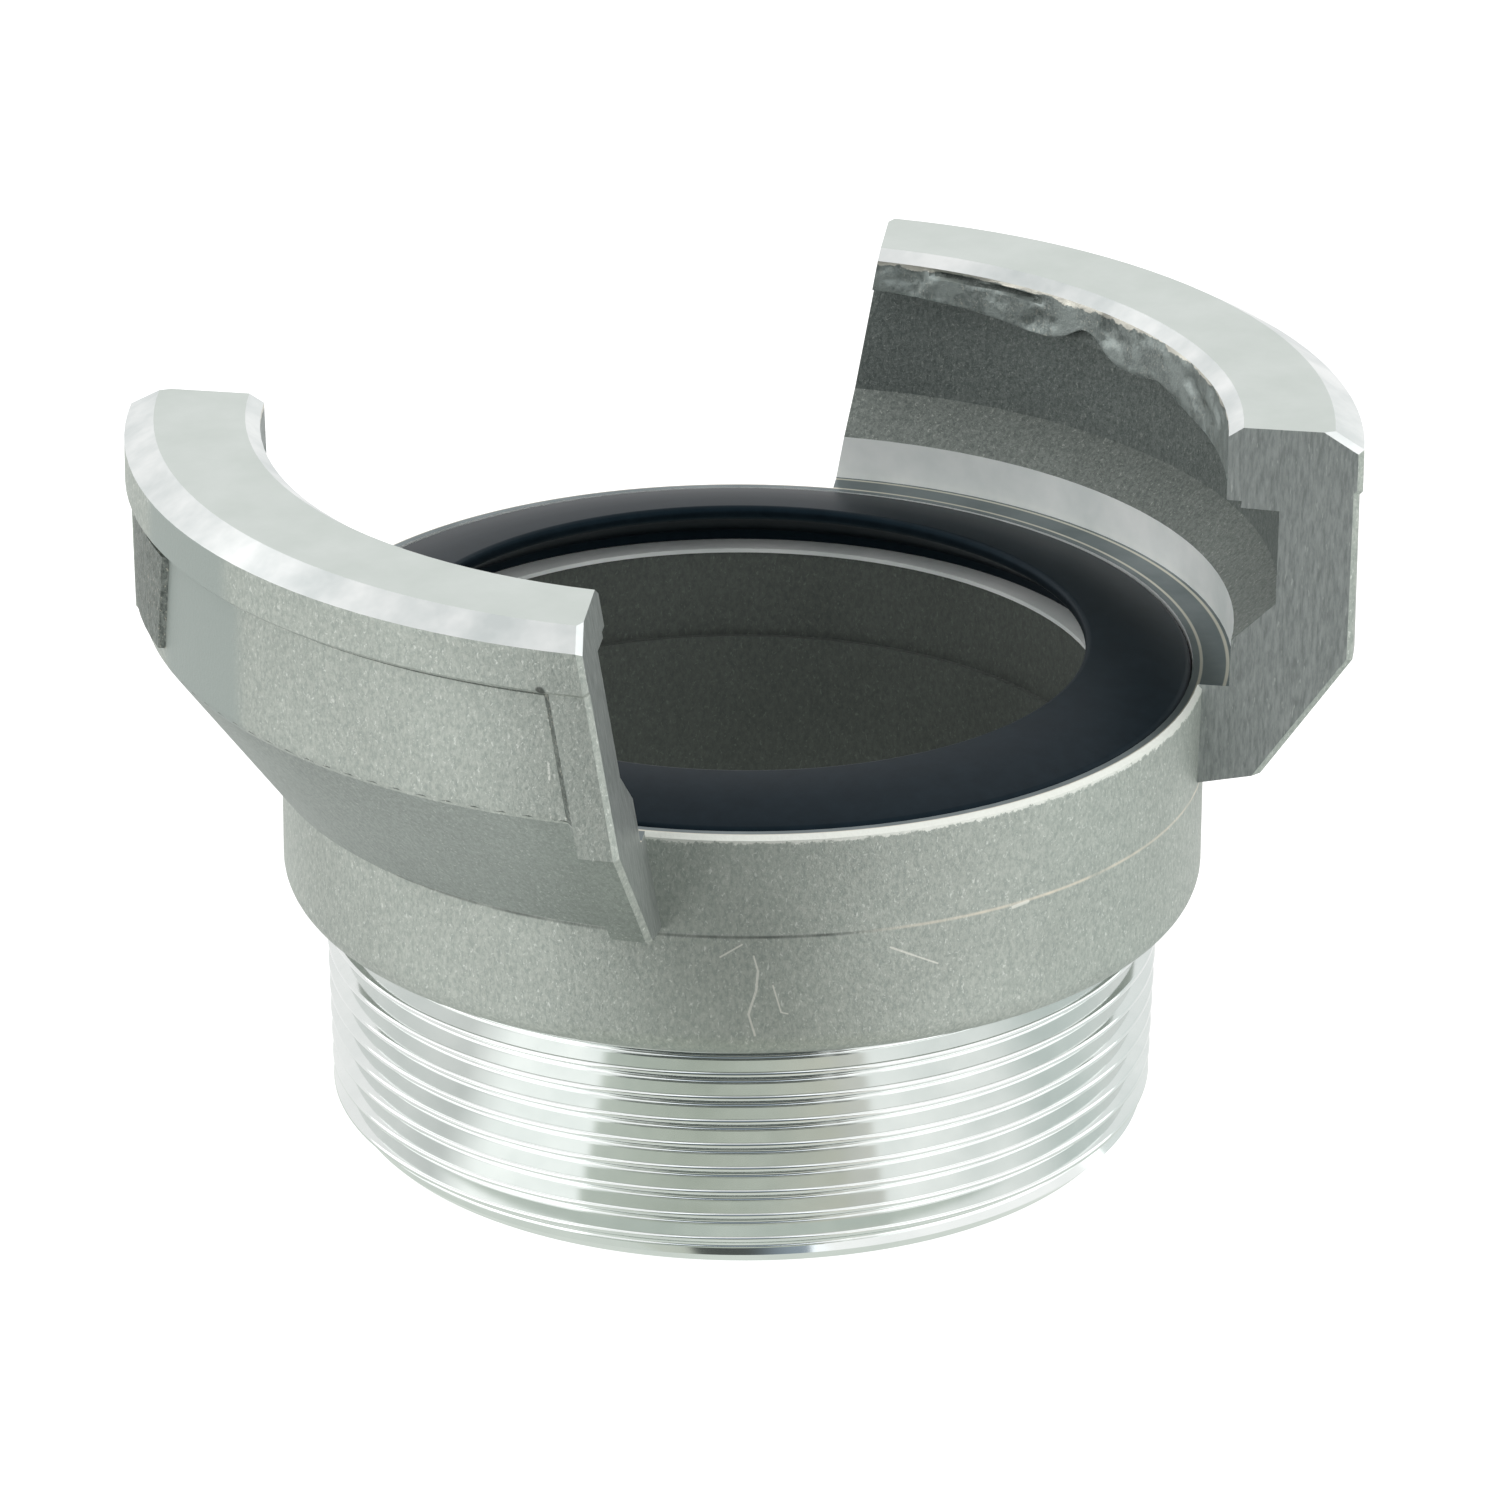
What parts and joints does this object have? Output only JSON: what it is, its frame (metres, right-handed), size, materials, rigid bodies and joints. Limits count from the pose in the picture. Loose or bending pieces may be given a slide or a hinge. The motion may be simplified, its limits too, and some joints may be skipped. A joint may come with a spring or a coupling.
{
  "type": "quarter turn fire hose coupling",
  "caption": "Cast half of a symmetrical quarter turn hose coupling: male pipe thread, plain collar, curved claws with hooked lips, and a lipped seal ring let into its face.",
  "frame": {"origin": "on the axis of the bore, in the plane of the thread's open end", "axes": "+Z along the axis of the bore, from the thread towards the claws and the seal; +X through the middle of one claw, with the other claw opposite on -X"},
  "size_m": [0.1098, 0.0828, 0.0666],
  "materials": {
    "cast_aluminium": "fine matte cast skin, turned bright on the thread, tips and register",
    "seal_rubber": "smooth moulded black rubber, slightly glossy"
  },
  "bodies": {
    "root": {"coupling_body": "cast_aluminium", "seal_ring": "seal_rubber"}
  },
  "joints": []
}
